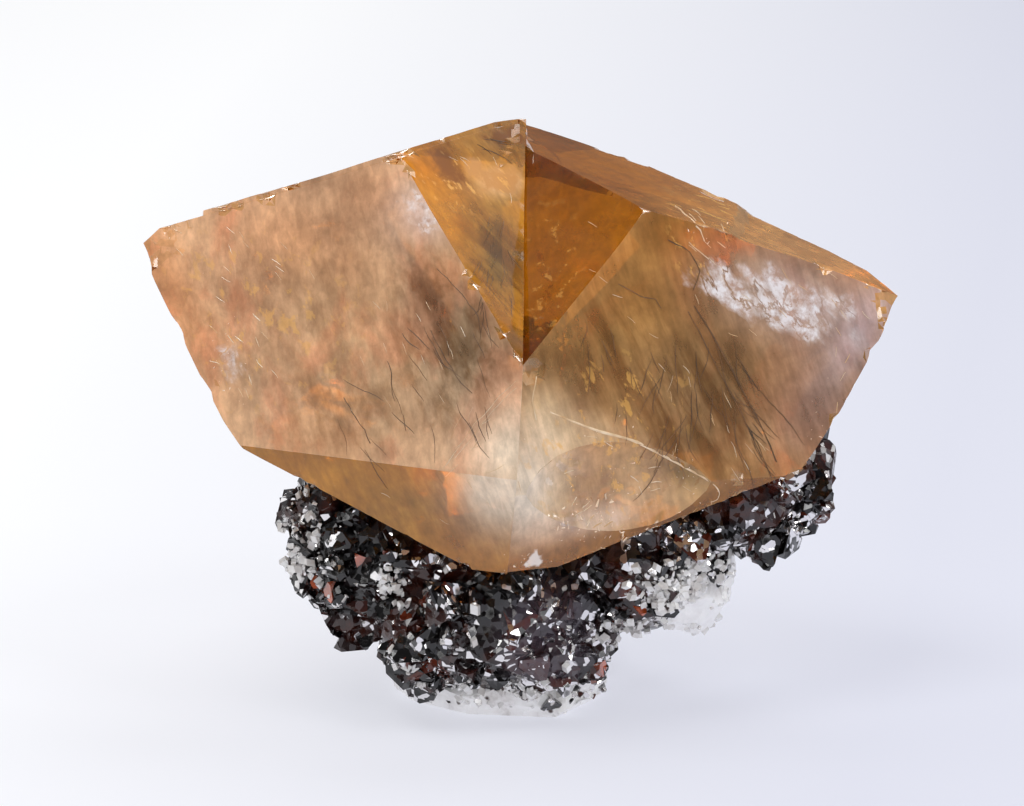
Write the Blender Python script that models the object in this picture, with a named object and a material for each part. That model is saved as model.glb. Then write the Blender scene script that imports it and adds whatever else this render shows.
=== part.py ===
"""Golden calcite twin seated in a crust of dark sphalerite crystals on the pale rock they grew on.

Metres, +Z up, the broad faces of the twin towards -Y. The calcite is two mirrored individuals that
share one twin plane, each cut from a block by its crystal faces. The sphalerite is a run of angular
lumps set with crystals, and the rock is a run of broken lumps behind and under it. The rock is cut
flat below, where the piece rests. Run with blender --background --python part.py, or from the text
editor.
"""

import math
import random

import bmesh
import bpy
from mathutils import Euler, Matrix, Vector

MM = 0.001

# The calcite's faces. Each individual leans its faces away from the twin plane. A face has a lean
# (degrees from the c axis to its normal), a turn about that axis (0 looks to the front, 90 up) and
# a distance in mm from the twin centre. 69 degrees is the steep scalenohedron, 44.6 the rhombohedron.
LEFT_FACES = {
    "broad_front": (67.8, 7.5, 26.3),
    "lower_front": (69.6, -31.3, 33.2),
    "top": (71.2, 93.0, 26.4),
    "underside": (70.4, -111.1, 21.5),
    "upper_back": (67.7, 128.2, 30.7),
    "lower_back": (69.0, -150.0, 25.0),
    "end_below": (45.6, -128.8, 27.7),
    "end_above": (44.2, 109.4, 41.3),
}
RIGHT_FACES = {
    "broad_front": (68.8, 5.4, 24.6),
    "lower_front": (68.8, -31.3, 32.0),
    "top": (73.4, 81.7, 23.1),
    "underside": (70.9, -111.0, 21.3),
    "upper_back": (64.4, 128.1, 29.2),
    "lower_back": (69.0, -150.0, 24.0),
    "end_below": (43.1, -130.5, 29.8),
    "end_above": (44.6, 109.1, 41.5),
}
# The faces of the re-entrant notches, in front and behind, lean in towards the twin plane
LEFT_NOTCHES = [(58.4, 44.9, 15.4), (58.4, 164.9, 24.0)]
RIGHT_NOTCHES = [(61.5, 43.3, 16.1), (61.5, 163.3, 24.5)]
TWIN_PLANE = -0.8
TWIN_OVERLAP = 0.02

# Thin last growth layer along the top of the left individual: its thickness, the X where it ends
# short of the tip, and how far its other sides stay inside the crystal
LAYER_RISE = 0.7
LAYER_END = -43.4
LAYER_INSET = 0.06

# The twin's c axis lies along X, then the crystal is tipped, dipped and turned (degrees about X, Y, Z)
TWIN_TILT = (-9.33, 4.06, 2.53)
TWIN_HEIGHT = 51.6

# Width of the block that solids are cut from, the gap left where two solids meet, and the weld
BLOCK = 240.0
SEAT_GAP = 0.3
WELD = 0.001

# Conchoidal chip broken off the lower edge of the right individual: the middle of its scar from the
# twin centre, the directions out of the crystal and along the scar, how far the scar is dished
# below its rim, and the radii (along, out, across) of the round tool that leaves it
CHIP_MIDDLE = (15.6, -22.2, -16.4)
CHIP_OUT = (0.318, -0.945, -0.082)
CHIP_ALONG = (0.892, 0.327, -0.311)
CHIP_DISH = 1.3
CHIP_RADII = (25.0, 17.0, 17.0)
CHIP_DETAIL = 4
# The lowest corner is blunted this far below the twin centre
BLUNT_BELOW = 26.2

# Angular lumps as centre and radii in mm from the twin centre, and the broken faces of each
SPHALERITE_LUMPS = [
    ((-4.0, -4.0, -36.5), (17.0, 17.0, 12.5)),
    ((-18.5, -3.0, -28.5), (12.5, 12.0, 11.5)),
    ((14.0, -2.0, -31.0), (12.5, 13.0, 9.5)),
    ((30.0, 3.0, -22.5), (9.5, 10.0, 8.0)),
    ((35.5, 5.0, -19.0), (5.0, 6.0, 4.5)),
    ((-3.0, 2.0, -43.0), (15.0, 14.0, 8.0)),
    ((2.0, 14.0, -27.0), (22.0, 11.0, 12.0)),
]
ROCK_LUMPS = [
    ((-2.0, 8.0, -49.0), (16.0, 20.0, 7.5)),
    ((2.0, 20.0, -35.0), (20.0, 11.0, 15.0)),
    ((21.5, 5.0, -35.5), (9.0, 11.0, 7.5)),
]
LUMP_FACETS = 34
LUMP_UNEVENNESS = 0.14
FACET_SCATTER = 0.2
ROCK_SEED = 5
SPHALERITE_SEED = 11

# Sphalerite crystals on the lumps: how many, the range of their half-widths in mm, the share of a
# lump's radii where their centres lie, the share of it that counts as buried, the share of a rock
# lump kept clear, and the least spacing in mm
CRYSTAL_COUNT = 170
CRYSTAL_SIZES = (1.4, 3.1)
CRYSTAL_ROOT = 0.92
BURIED = 0.88
ROCK_CLEAR = 1.03
CRYSTAL_SPACING = 2.0
# Distance of a crystal's tetrahedron, blunt-corner and cube faces, as shares of its half-width
TETRAHEDRON_FACE = (0.85, 1.0)
CORNER_FACE = (1.15, 1.5)
CUBE_FACE = (1.1, 1.25)

UP = Vector((0.0, 0.0, 1.0))


def face_normal(lean, turn, side):
    """Outward normal of a crystal face; side is -1 for faces leaning to -X and +1 for +X."""
    lean, turn = math.radians(lean), math.radians(turn)
    return Vector((side * math.cos(lean),
                   -math.sin(lean) * math.cos(turn),
                   math.sin(lean) * math.sin(turn)))


def cut_beyond(bm, point, normal):
    """Cut away all that lies beyond a plane and close the cut with one face."""
    geometry = bm.verts[:] + bm.edges[:] + bm.faces[:]
    cut = bmesh.ops.bisect_plane(bm, geom=geometry, plane_co=point, plane_no=normal,
                                 dist=1e-9, clear_outer=True)
    rim = [item for item in cut["geom_cut"] if isinstance(item, bmesh.types.BMEdge)]
    if rim:
        bmesh.ops.edgeloop_fill(bm, edges=rim)


def convex_block(planes):
    """A convex solid from (normal, distance) pairs, both from the origin, in metres."""
    bm = bmesh.new()
    bmesh.ops.create_cube(bm, size=BLOCK * MM)
    for normal, distance in planes:
        cut_beyond(bm, normal * distance, normal)
    bmesh.ops.recalc_face_normals(bm, faces=bm.faces[:])
    return bm


def object_from(bm, name):
    """Turn a bmesh into a scene object and free the bmesh."""
    mesh = bpy.data.meshes.new(name)
    bm.to_mesh(mesh)
    bm.free()
    thing = bpy.data.objects.new(name, mesh)
    bpy.context.scene.collection.objects.link(thing)
    return thing


def combine(target, others, operation):
    """Join or cut the target with the other objects, which are used up."""
    tools = bpy.data.collections.new("tools")
    bpy.context.scene.collection.children.link(tools)
    for other in others:
        tools.objects.link(other)
    step = target.modifiers.new("combine", "BOOLEAN")
    step.operation = operation
    step.solver = "EXACT"
    step.operand_type = "COLLECTION"
    step.collection = tools
    evaluated = target.evaluated_get(bpy.context.evaluated_depsgraph_get())
    result = bpy.data.meshes.new_from_object(evaluated)
    target.modifiers.clear()
    target.data = result
    for other in others:
        bpy.data.objects.remove(other)
    bpy.data.collections.remove(tools)
    return target


def islands(bm):
    """Connected groups of faces, the largest first."""
    waiting = set(bm.faces)
    groups = []
    while waiting:
        group, front = set(), [waiting.pop()]
        while front:
            face = front.pop()
            group.add(face)
            for edge in face.edges:
                for near in edge.link_faces:
                    if near in waiting:
                        waiting.remove(near)
                        front.append(near)
        groups.append(group)
    return sorted(groups, key=len, reverse=True)


def tidy_solid(thing):
    """Keep the one main body, weld near-double points and split faces into triangles."""
    bm = bmesh.new()
    bm.from_mesh(thing.data)
    bmesh.ops.remove_doubles(bm, verts=bm.verts[:], dist=WELD * MM)
    bmesh.ops.dissolve_degenerate(bm, edges=bm.edges[:], dist=WELD * MM)
    for crumb in islands(bm)[1:]:
        bmesh.ops.delete(bm, geom=list(crumb), context="FACES")
    bmesh.ops.triangulate(bm, faces=bm.faces[:])
    bmesh.ops.recalc_face_normals(bm, faces=bm.faces[:])
    bm.to_mesh(thing.data)
    bm.free()


def individual(faces, notches, side, grow, extra=None):
    """The planes of one half of the twin. side is -1 for the left; grow moves every face out."""
    planes = []
    for name, (lean, turn, distance) in faces.items():
        rise = extra.get(name, 0.0) if extra else 0.0
        planes.append((face_normal(lean, turn, side), (distance + rise + grow) * MM))
    for lean, turn, distance in notches:
        planes.append((face_normal(lean, turn, -side), (distance + grow) * MM))
    twin_normal = Vector((-side, 0.0, 0.0))
    planes.append((twin_normal, (-side * TWIN_PLANE + TWIN_OVERLAP) * MM))
    return planes


def broken_lump(lump, seed, grow=0.0):
    """An angular lump: a block cut by planes that nearly touch its ellipsoid, spread evenly around."""
    rng = random.Random(seed)
    centre, radii = Vector(lump[0]), Vector(lump[1])
    golden_turn = math.pi * (3.0 - math.sqrt(5.0))
    planes = []
    for i in range(LUMP_FACETS):
        height = 1.0 - 2.0 * (i + 0.5) / LUMP_FACETS
        reach = math.sqrt(1.0 - height * height)
        way = Vector((reach * math.cos(golden_turn * i), reach * math.sin(golden_turn * i), height))
        way = (way + Vector([rng.uniform(-FACET_SCATTER, FACET_SCATTER) for _ in range(3)])).normalized()
        support = Vector([radii[k] * way[k] for k in range(3)]).length
        planes.append((way, (support * (1.0 - LUMP_UNEVENNESS * rng.random()) + grow) * MM))
    bm = convex_block(planes)
    bmesh.ops.translate(bm, vec=centre * MM, verts=bm.verts[:])
    return object_from(bm, "lump")


def chip_tool(grow):
    """The round body whose lower side leaves the dished scar of the chip."""
    out = Vector(CHIP_OUT).normalized()
    across = Vector(CHIP_ALONG).cross(out).normalized()
    along = out.cross(across)
    centre = Vector(CHIP_MIDDLE) + out * (CHIP_RADII[1] - CHIP_DISH)
    turn = Matrix((along, out, across)).transposed().to_4x4()
    stretch = Matrix.Diagonal([(radius - grow) * MM for radius in CHIP_RADII] + [1.0])
    bm = bmesh.new()
    bmesh.ops.create_icosphere(bm, subdivisions=CHIP_DETAIL, radius=1.0)
    bmesh.ops.transform(bm, matrix=Matrix.Translation(centre * MM) @ turn @ stretch, verts=bm.verts[:])
    return object_from(bm, "chip")


def calcite(grow=0.0):
    """The whole twin about its centre at the origin, tilted as it sits; grow moves its skin out."""
    left = object_from(convex_block(individual(LEFT_FACES, LEFT_NOTCHES, -1, grow)), "left")
    rise = {"upper_back": LAYER_RISE, "top": LAYER_RISE}
    layer_planes = individual(LEFT_FACES, LEFT_NOTCHES, -1, grow - LAYER_INSET, rise)
    layer_planes.append((Vector((-1.0, 0.0, 0.0)), (-LAYER_END + grow) * MM))
    layer = object_from(convex_block(layer_planes), "layer")
    right = object_from(convex_block(individual(RIGHT_FACES, RIGHT_NOTCHES, 1, grow)), "right")
    combine(left, [layer, right], "UNION")
    left.data.transform(Euler([math.radians(a) for a in TWIN_TILT]).to_matrix().to_4x4())
    below = object_from(convex_block([(UP, -(BLUNT_BELOW + grow) * MM)]), "below")
    return combine(left, [chip_tool(grow), below], "DIFFERENCE")


def sphalerite_crystal(place, size, rng):
    """A tetrahedron with blunted corners and edges, turned at random."""
    corners = [Vector(v).normalized() for v in ((1, 1, 1), (1, -1, -1), (-1, 1, -1), (-1, -1, 1))]
    cube_sides = [Vector(v) for v in ((1, 0, 0), (-1, 0, 0), (0, 1, 0), (0, -1, 0), (0, 0, 1), (0, 0, -1))]
    planes = [(side, size * rng.uniform(*TETRAHEDRON_FACE) * MM) for side in corners]
    planes += [(-side, size * rng.uniform(*CORNER_FACE) * MM) for side in corners]
    planes += [(side, size * rng.uniform(*CUBE_FACE) * MM) for side in cube_sides]
    bm = convex_block(planes)
    turn = Euler([rng.uniform(0.0, math.tau) for _ in range(3)]).to_matrix().to_4x4()
    bmesh.ops.transform(bm, matrix=Matrix.Translation(place * MM) @ turn, verts=bm.verts[:])
    return object_from(bm, "crystal")


def inside(point, lump, share):
    """Whether a point lies in a lump shrunk to the given share of its radii."""
    centre, radii = lump
    return sum(((point[i] - centre[i]) / (radii[i] * share)) ** 2 for i in range(3)) < 1.0


def crystal_places(rng):
    """Points on the lumps' outer surfaces, spread at random and not too close together."""
    places = []
    while len(places) < CRYSTAL_COUNT:
        centre, radii = rng.choice(SPHALERITE_LUMPS)
        way = Vector([rng.gauss(0.0, 1.0) for _ in range(3)]).normalized()
        point = Vector([centre[i] + radii[i] * way[i] * CRYSTAL_ROOT for i in range(3)])
        buried = any(inside(point, lump, BURIED) for lump in SPHALERITE_LUMPS)
        in_rock = any(inside(point, lump, ROCK_CLEAR) for lump in ROCK_LUMPS)
        crowded = any((point - other).length < CRYSTAL_SPACING for other in places)
        if not (buried or in_rock or crowded):
            places.append(point)
    return places


def ground_block():
    """A block whose top is the level on which the specimen is cut flat."""
    return object_from(convex_block([(UP, -TWIN_HEIGHT * MM)]), "ground")


def joined_lumps(table, seed, grow=0.0):
    """The lumps of a table joined in one solid."""
    parts = [broken_lump(lump, seed + i, grow) for i, lump in enumerate(table)]
    return combine(parts[0], parts[1:], "UNION")


def host_rock():
    """The pale rock, cut to the calcite's seat and flat below."""
    rock = joined_lumps(ROCK_LUMPS, ROCK_SEED)
    combine(rock, [calcite(SEAT_GAP), ground_block()], "DIFFERENCE")
    tidy_solid(rock)
    return rock


def sphalerite_crust():
    """The sphalerite with its crystals, cut to the calcite's and the rock's seats."""
    rng = random.Random(SPHALERITE_SEED)
    crust = joined_lumps(SPHALERITE_LUMPS, SPHALERITE_SEED)
    crystals = [sphalerite_crystal(place, rng.uniform(*CRYSTAL_SIZES), rng) for place in crystal_places(rng)]
    combine(crust, crystals, "UNION")
    seats = [calcite(SEAT_GAP), joined_lumps(ROCK_LUMPS, ROCK_SEED, SEAT_GAP), ground_block()]
    combine(crust, seats, "DIFFERENCE")
    tidy_solid(crust)
    return crust


def calcite_twin():
    """The calcite at its true size."""
    twin = calcite()
    tidy_solid(twin)
    return twin


def finish(thing, name, colour, roughness, transmission):
    """Give a solid its name and material."""
    thing.name = thing.data.name = name
    material = bpy.data.materials.new(name)
    material.use_nodes = True
    shader = material.node_tree.nodes["Principled BSDF"]
    shader.inputs["Base Color"].default_value = (*colour, 1.0)
    shader.inputs["Roughness"].default_value = roughness
    shader.inputs["Transmission Weight"].default_value = transmission
    thing.data.materials.clear()
    thing.data.materials.append(material)


def stand_on_origin(things):
    """Move the whole specimen so that the middle of its footprint box is at the origin."""
    points = [vert.co for thing in things for vert in thing.data.vertices]
    low = Vector([min(point[i] for point in points) for i in range(3)])
    high = Vector([max(point[i] for point in points) for i in range(3)])
    shift = Matrix.Translation(Vector((-(low.x + high.x) / 2, -(low.y + high.y) / 2, -low.z)))
    for thing in things:
        thing.data.transform(shift)


def main():
    for thing in list(bpy.data.objects):
        bpy.data.objects.remove(thing)
    twin = calcite_twin()
    crust = sphalerite_crust()
    rock = host_rock()
    finish(twin, "calcite_twin", (0.72, 0.42, 0.14), 0.15, 0.6)
    finish(crust, "sphalerite_crust", (0.05, 0.02, 0.018), 0.2, 0.0)
    finish(rock, "host_rock", (0.72, 0.70, 0.68), 0.7, 0.0)
    stand_on_origin([twin, crust, rock])


main()
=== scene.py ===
"""Looks of the calcite twin on sphalerite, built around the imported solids.

Metres, +Z up. The camera looks along +Y from 14 degrees above, as in the photograph. Places named
in pixels are in the photograph's frame, and sight lines from the camera find them on the solids.
"""

import math
import random

import bmesh
import bpy
import numpy as np
from mathutils import Euler, Matrix, Vector, noise
from mathutils.bvhtree import BVHTree
from mathutils.kdtree import KDTree


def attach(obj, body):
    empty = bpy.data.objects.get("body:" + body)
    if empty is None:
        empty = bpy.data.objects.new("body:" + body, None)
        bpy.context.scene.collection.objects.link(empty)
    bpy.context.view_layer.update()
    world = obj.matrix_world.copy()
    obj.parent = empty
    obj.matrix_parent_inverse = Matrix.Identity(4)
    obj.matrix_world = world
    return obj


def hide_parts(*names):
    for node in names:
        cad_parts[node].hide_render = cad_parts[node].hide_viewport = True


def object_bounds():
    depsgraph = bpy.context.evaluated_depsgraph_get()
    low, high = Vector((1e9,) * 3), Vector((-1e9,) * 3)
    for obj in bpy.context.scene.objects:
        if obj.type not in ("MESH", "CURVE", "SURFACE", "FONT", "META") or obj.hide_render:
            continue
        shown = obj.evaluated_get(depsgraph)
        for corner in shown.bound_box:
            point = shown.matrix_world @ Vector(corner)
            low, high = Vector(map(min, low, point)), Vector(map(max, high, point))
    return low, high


MM = 0.001
SEED = 4

# The photograph's frame and the view it was taken from
IMAGE_WIDTH, IMAGE_HEIGHT = 1024, 806
VIEW_ELEVATION = math.radians(14.0)
VIEW_DISTANCE = 0.8
SENSOR = 36.0
PIXELS_PER_MM = 7.4
TWIN_CENTRE = Vector((-0.546, -0.381, 51.6)) * MM
TWIN_CENTRE_PIXEL = (518.0, 332.0)

VIEW_RIGHT = Vector((1.0, 0.0, 0.0))
VIEW_AWAY = Vector((0.0, math.cos(VIEW_ELEVATION), -math.sin(VIEW_ELEVATION)))
VIEW_UP = Vector((0.0, math.sin(VIEW_ELEVATION), math.cos(VIEW_ELEVATION)))
FOCAL_PIXELS = PIXELS_PER_MM * VIEW_DISTANCE / MM

# The camera stands so that the twin's centre falls on its pixel
CENTRE_RIGHT = (TWIN_CENTRE_PIXEL[0] - IMAGE_WIDTH / 2) / PIXELS_PER_MM * MM
CENTRE_UP = -(TWIN_CENTRE_PIXEL[1] - IMAGE_HEIGHT / 2) / PIXELS_PER_MM * MM
CAMERA_PLACE = TWIN_CENTRE - CENTRE_RIGHT * VIEW_RIGHT - CENTRE_UP * VIEW_UP - VIEW_DISTANCE * VIEW_AWAY

# Refraction: calcite between its two indices, the crust low enough to keep its facets dark
CALCITE_IOR = 1.58
CRUST_IOR = 1.62
RED_SPHALERITE_IOR = 2.3


def pixel_of(point):
    """Where a point of the specimen falls in the photograph's frame."""
    offset = point - CAMERA_PLACE
    scale = FOCAL_PIXELS / offset.dot(VIEW_AWAY)
    return (IMAGE_WIDTH / 2 + offset.dot(VIEW_RIGHT) * scale,
            IMAGE_HEIGHT / 2 - offset.dot(VIEW_UP) * scale)


def pixels_of(points):
    """Where many points fall in the photograph's frame, as two arrays."""
    offset = points - np.array(CAMERA_PLACE)
    scale = FOCAL_PIXELS / (offset @ np.array(VIEW_AWAY))
    return (IMAGE_WIDTH / 2 + (offset @ np.array(VIEW_RIGHT)) * scale,
            IMAGE_HEIGHT / 2 - (offset @ np.array(VIEW_UP)) * scale)


def sight(u, v):
    """The direction from the camera through a pixel."""
    return (VIEW_AWAY * FOCAL_PIXELS + VIEW_RIGHT * (u - IMAGE_WIDTH / 2)
            + VIEW_UP * (IMAGE_HEIGHT / 2 - v)).normalized()


def seen_at(u, v, tree):
    """The point of a mesh that the camera sees at a pixel, with its normal."""
    place, normal, _, _ = tree.ray_cast(CAMERA_PLACE, sight(u, v))
    return (place, normal) if place else None


def new_object(name, data):
    thing = bpy.data.objects.new(name, data)
    bpy.context.scene.collection.objects.link(thing)
    return thing


def object_from(bm, name):
    mesh = bpy.data.meshes.new(name)
    bm.to_mesh(mesh)
    bm.free()
    return new_object(name, mesh)


def ordered_object(bm, name):
    """An object whose points and faces are in the same order on each run, whatever order bmesh gave them."""
    verts = sorted(bm.verts, key=lambda vert: vert.co[:])
    numbers = {vert: n for n, vert in enumerate(verts)}
    faces = []
    for face in bm.faces:
        ring = [numbers[vert] for vert in face.verts]
        first = ring.index(min(ring))
        faces.append(ring[first:] + ring[:first])
    mesh = bpy.data.meshes.new(name)
    mesh.from_pydata([vert.co for vert in verts], [], sorted(faces))
    bm.free()
    return new_object(name, mesh)


def tree_of(thing):
    bm = bmesh.new()
    bm.from_mesh(thing.data)
    tree = BVHTree.FromBMesh(bm)
    bm.free()
    return tree


def values_of(items, name, kind=float):
    """One value, or one row of three, from each item of a mesh."""
    width = 3 if name in ("co", "normal") else 1
    values = np.empty(len(items) * width, kind)
    items.foreach_get(name, values)
    return values.reshape(-1, width) if width > 1 else values


def dress(thing, material, replaced=None):
    """Give a piece its material and its body, and hide the solid that it stands in for."""
    thing.data.materials.append(material)
    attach(thing, "root")
    if replaced:
        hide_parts(replaced)
    return thing


class Nodes:
    """Short calls for the nodes of one shader tree."""

    def __init__(self, tree):
        self.tree = tree

    def feed(self, node, inputs):
        """Link sockets to a node's inputs and set the other inputs to their values."""
        for key, value in inputs.items():
            if isinstance(value, bpy.types.NodeSocket):
                self.tree.links.new(value, node.inputs[key])
            else:
                node.inputs[key].default_value = value

    def add(self, kind, inputs, **settings):
        node = self.tree.nodes.new("ShaderNode" + kind)
        for key, value in settings.items():
            setattr(node, key, value)
        self.feed(node, inputs)
        return node

    def where(self, kind="Object"):
        return self.add("TexCoord", {}).outputs[kind]

    def noise(self, where, scale, detail, roughness=0.5, distortion=0.0):
        return self.add("TexNoise", {
            "Vector": where, "Scale": scale, "Detail": detail, "Roughness": roughness,
            "Distortion": distortion}).outputs["Fac"]

    def span(self, value, low, high, start=0.0, end=1.0, smooth=False):
        """Map the values between low and high to those between start and end."""
        inputs = {"Value": value, "From Min": low, "From Max": high, "To Min": start, "To Max": end}
        kind = "SMOOTHSTEP" if smooth else "LINEAR"
        return self.add("MapRange", inputs, interpolation_type=kind).outputs["Result"]

    def math(self, operation, *values):
        return self.add("Math", dict(enumerate(values)), operation=operation).outputs[0]

    def vector(self, operation, *values):
        inputs = dict(enumerate(values))
        if operation == "SCALE":
            inputs = {0: values[0], "Scale": values[1]}
        result = "Value" if operation == "DISTANCE" else "Vector"
        return self.add("VectorMath", inputs, operation=operation).outputs[result]

    def mix(self, share, below, above):
        return self.add("Mix", {0: share, 6: below, 7: above}, data_type="RGBA").outputs[2]

    def mix_values(self, share, below, above):
        return self.add("Mix", {0: share, 2: below, 3: above}, data_type="FLOAT").outputs[0]

    def ramp(self, value, *stops):
        """A colour ramp through two or more stops, each a position and a colour."""
        node = self.add("ValToRGB", {"Fac": value})
        elements = node.color_ramp.elements
        for element, (position, colour) in zip(elements, (stops[0], stops[-1])):
            element.position, element.color = position, (*colour, 1)
        for position, colour in stops[1:-1]:
            elements.new(position).color = (*colour, 1)
        return node.outputs["Color"]

    def layer(self, name):
        """A colour layer stored on the mesh."""
        return self.add("VertexColor", {}, layer_name=name).outputs["Color"]

    def channels(self, name):
        """The red, green and blue channels of a colour layer stored on the mesh."""
        return self.add("SeparateColor", {"Color": self.layer(name)}).outputs

    def drawn_out(self, where, turn, stretch):
        """Coordinates turned by some degrees and then stretched, for a pattern with a grain."""
        turned = self.add("Mapping", {"Vector": where, "Rotation": [math.radians(angle) for angle in turn]})
        return self.add("Mapping", {"Vector": turned.outputs["Vector"], "Scale": stretch}).outputs["Vector"]

    def streaks(self, where, turn, stretch, scale, low, high, lines=False):
        """A noise drawn out along a direction in the face, cut to patches or to thin lines."""
        value = self.noise(self.drawn_out(where, (0, turn, 0), (1.0, 1.0, stretch)), scale, 5.0, 0.6, 0.35)
        if lines:
            value = self.math("ABSOLUTE", self.math("SUBTRACT", value, 0.5))
        return self.span(value, low, high, smooth=True)


class Paint(Nodes):
    """A material with one principled shader."""

    def __init__(self, name):
        self.material = bpy.data.materials.new(name)
        self.material.use_nodes = True
        super().__init__(self.material.node_tree)

    def finish(self, inputs):
        self.feed(self.tree.nodes["Principled BSDF"], inputs)
        return self.material


def mottled_material(name, scale, detail, stops, roughness, ior=CALCITE_IOR, clear=0.0):
    """A mineral mottled between the colours of a ramp."""
    paint = Paint(name)
    colour = paint.ramp(paint.noise(paint.where(), scale, detail), *stops)
    return paint.finish({"Base Color": colour, "Roughness": roughness, "IOR": ior,
                         "Transmission Weight": clear})


def add_camera():
    camera = bpy.data.cameras.new("camera")
    holder = new_object("camera", camera)
    place = Matrix((VIEW_RIGHT, VIEW_UP, -VIEW_AWAY)).transposed().to_4x4()
    place.translation = CAMERA_PLACE
    holder.matrix_world = place
    camera.sensor_width = SENSOR
    camera.lens = FOCAL_PIXELS / IMAGE_WIDTH * SENSOR
    camera.clip_start, camera.clip_end = 0.01, 50.0
    bpy.context.scene.camera = holder


# The floor: its width, its glow, and how the glow dims towards the front right: weights of X and Y,
# the sums between which it dims, and its two colours
FLOOR_SIZE = 12.0
FLOOR_GLOW = 0.765
FLOOR_LEAN = (4.6, -0.62)
FLOOR_DIMS = (-0.56, 0.23)
FLOOR_COLOURS = ((1.0, 1.0, 1.0), (0.64, 0.65, 0.76))


def add_floor():
    """A pale sweep, a little greyer towards the front right."""
    bpy.ops.mesh.primitive_plane_add(size=FLOOR_SIZE, location=(0.0, 0.0, 0.0))
    floor = bpy.context.object
    floor.name = "floor"
    paint = Paint("floor")
    parts = paint.add("SeparateXYZ", {"Vector": paint.where()}).outputs
    lean = paint.math("MULTIPLY", parts["X"], FLOOR_LEAN[0])
    lean = paint.math("MULTIPLY_ADD", parts["Y"], FLOOR_LEAN[1], lean)
    glow = paint.ramp(paint.span(lean, *FLOOR_DIMS), (0.0, FLOOR_COLOURS[0]), (1.0, FLOOR_COLOURS[1]))
    floor.data.materials.append(paint.finish({
        "Emission Color": glow, "Emission Strength": FLOOR_GLOW, "Base Color": (0.24, 0.245, 0.26, 1.0),
        "Roughness": 0.9, "Specular IOR Level": 0.0}))


# Soft lamps: direction from the specimen, width in metres, and radiance
LAMPS = {
    "lamp_top_left": ((-0.25, -0.38, 0.88), 0.34, 8.0),
    "lamp_top_right": ((0.45, -0.48, 0.75), 0.26, 8.0),
    "lamp_left": ((-0.93, 0.05, 0.36), 0.24, 8.0),
    "lamp_right": ((0.95, 0.05, 0.28), 0.24, 8.0),
    "lamp_front": ((0.16, -0.93, 0.30), 0.14, 6.5),
    "lamp_low": ((-0.04, -0.98, 0.08), 0.22, 7.0),
    "lamp_back": ((-0.15, 0.75, 0.62), 0.28, 1.6),
    "lamp_over": ((0.30, 0.32, 0.90), 0.45, 3.4),
}
LAMP_DISTANCE = 0.85
LAMP_AIM = Vector((0.0, 0.0, 0.045))
# The panel behind: the shares of Y and Z between which it sets in, and the dim and the bright sky
PANEL_BEHIND = (0.05, 0.5)
PANEL_ABOVE = (0.2, 0.55)
SKY_LEVELS = (0.13, 0.75)
SKY_COLOUR = (0.93, 0.95, 1.0, 1.0)


def add_light():
    """A dim room with a large soft panel high behind, and soft lamps."""
    world = bpy.data.worlds.new("studio")
    bpy.context.scene.world = world
    world.use_nodes = True
    sky = Nodes(world.node_tree)
    parts = sky.add("SeparateXYZ", {"Vector": sky.where("Generated")}).outputs
    panel = sky.math("MULTIPLY", sky.span(parts["Y"], *PANEL_BEHIND, smooth=True),
                     sky.span(parts["Z"], *PANEL_ABOVE, smooth=True))
    sky.feed(world.node_tree.nodes["Background"],
             {"Color": SKY_COLOUR, "Strength": sky.span(panel, 0.0, 1.0, *SKY_LEVELS)})
    for name, (way, width, radiance) in LAMPS.items():
        lamp = bpy.data.lights.new(name, "AREA")
        lamp.size = width
        lamp.energy = radiance * math.pi * width * width
        holder = new_object(name, lamp)
        holder.location = LAMP_AIM + Vector(way).normalized() * LAMP_DISTANCE
        holder.rotation_euler = (LAMP_AIM - holder.location).to_track_quat("-Z", "Y").to_euler()


# A pixel on each crystal face that the photograph shows
FACE_PIXELS = {"left_broad": (330, 330), "left_lower": (400, 520), "left_notch": (480, 220),
               "right_broad": (720, 330), "right_lower": (530, 540), "right_notch": (560, 220),
               "right_top": (700, 212)}
# How far a normal may lean from that of a face and still count as part of it, as a cosine
SAME_FACE = 0.975
FLAT_FACE = 0.985


def read_faces(twin):
    """The outward normal of each face and its distance from the twin centre, from the solid."""
    tree = tree_of(twin)
    found = {}
    for name, pixel in FACE_PIXELS.items():
        place, normal = seen_at(*pixel, tree)
        found[name] = (normal, (place - TWIN_CENTRE).dot(normal))
    return found


def under_face(face, inset, u, v):
    """The point seen at a pixel on the plane that lies inset mm inside a crystal face."""
    normal, distance = crystal_faces[face]
    way = sight(u, v)
    reach = distance - inset * MM - normal.dot(CAMERA_PLACE - TWIN_CENTRE)
    return CAMERA_PLACE + way * (reach / normal.dot(way))


def depth_inside(tree, point):
    """How deep a point lies inside the crystal, negative outside."""
    place, normal, _, distance = tree.find_nearest(point)
    inward = (place - point).dot(normal)
    return distance if inward > 0.5 * distance else -distance


# The calcite's skin is cut in slices of this size, and its edges are rounded to this width
SLICE = 0.85 * MM
EDGE_WIDTH = 0.22 * MM
SHARP_EDGE = math.radians(14)
FLAT_EDGE = math.radians(0.6)
SHADED_EDGE = math.radians(12)
WELD = 1e-6

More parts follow.
